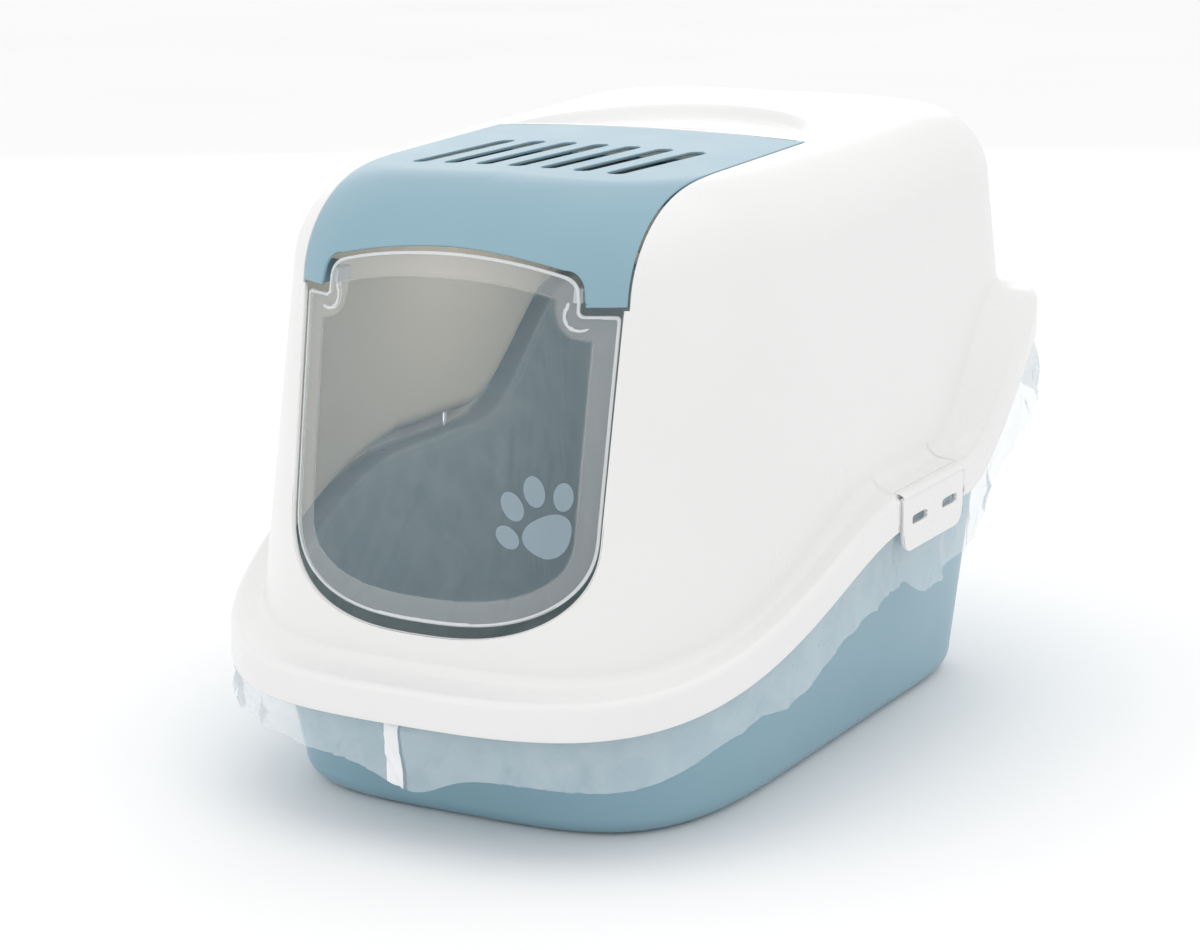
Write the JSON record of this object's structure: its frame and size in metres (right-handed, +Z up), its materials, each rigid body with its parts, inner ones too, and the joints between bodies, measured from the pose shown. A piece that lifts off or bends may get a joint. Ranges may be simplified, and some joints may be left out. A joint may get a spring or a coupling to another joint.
{
  "type": "hooded cat litter box",
  "caption": "Cat litter box: open tray that rises to the rear, film liner over its rim, and a latched hood with a clear flap door, a vented lift-up visor and a carry recess",
  "frame": {"origin": "centre of the bounding box in X and Y, at the floor", "axes": "+Z up, front and door face -Y, +X to the right seen from the front"},
  "size_m": [0.39, 0.56, 0.386],
  "materials": {
    "blue_plastic": "satin",
    "white_plastic": "gloss",
    "clear_plastic": "transparent, slightly smoky",
    "frosted_print": "frosted",
    "liner_film": "thin translucent film",
    "carbon_foam": "open-cell foam"
  },
  "bodies": {
    "tray": {"litter_tray": "blue_plastic", "liner_film": "liner_film", "tray_catch_left_front": "blue_plastic", "tray_catch_left_rear": "blue_plastic", "tray_catch_right_front": "blue_plastic", "tray_catch_right_rear": "blue_plastic"},
    "hood": {"hood_shell": "white_plastic", "carry_recess": "white_plastic"},
    "visor": {"visor_panel": "blue_plastic", "filter_frame": "blue_plastic", "filter_grille": "blue_plastic", "filter_pad": "carbon_foam", "visor_hook_left": "blue_plastic", "door_socket_left": "blue_plastic", "visor_hook_right": "blue_plastic", "door_socket_right": "blue_plastic"},
    "door": {"door_flap": "clear_plastic", "paw_pad": "frosted_print", "paw_toe_1": "frosted_print", "paw_toe_2": "frosted_print", "paw_toe_3": "frosted_print", "paw_toe_4": "frosted_print", "door_pin_left": "clear_plastic", "door_pin_right": "clear_plastic"},
    "latch_left": {"latch_left": "white_plastic", "latch_left_tooth_front": "white_plastic", "latch_left_tooth_rear": "white_plastic"},
    "latch_right": {"latch_right": "white_plastic", "latch_right_tooth_front": "white_plastic", "latch_right_tooth_rear": "white_plastic"}
  },
  "joints": [
    {"name": "hood_lift", "type": "slide", "parent": "tray", "child": "hood", "axis": [0, 0, 1], "range_m": [0, 0.25]},
    {"name": "visor_flip", "type": "hinge", "parent": "hood", "child": "visor", "pos_m": [0, 0.028, 0.3808], "axis": [1, 0, 0], "range_deg": [-100, 0]},
    {"name": "door_swing", "type": "hinge", "parent": "visor", "child": "door", "pos_m": [0, -0.198, 0.3175], "axis": [1, 0, 0], "range_deg": [-65, 70], "stiffness_Nm_per_rad": 0.1, "springref_deg": -16.04},
    {"name": "latch_left_flex", "type": "hinge", "parent": "hood", "child": "latch_left", "pos_m": [-0.195, 0.0355, 0.17], "axis": [0, 1, 0], "range_deg": [0, 25], "stiffness_Nm_per_rad": 0.6},
    {"name": "latch_right_flex", "type": "hinge", "parent": "hood", "child": "latch_right", "pos_m": [0.195, 0.0355, 0.17], "axis": [0, -1, 0], "range_deg": [0, 25], "stiffness_Nm_per_rad": 0.6}
  ]
}
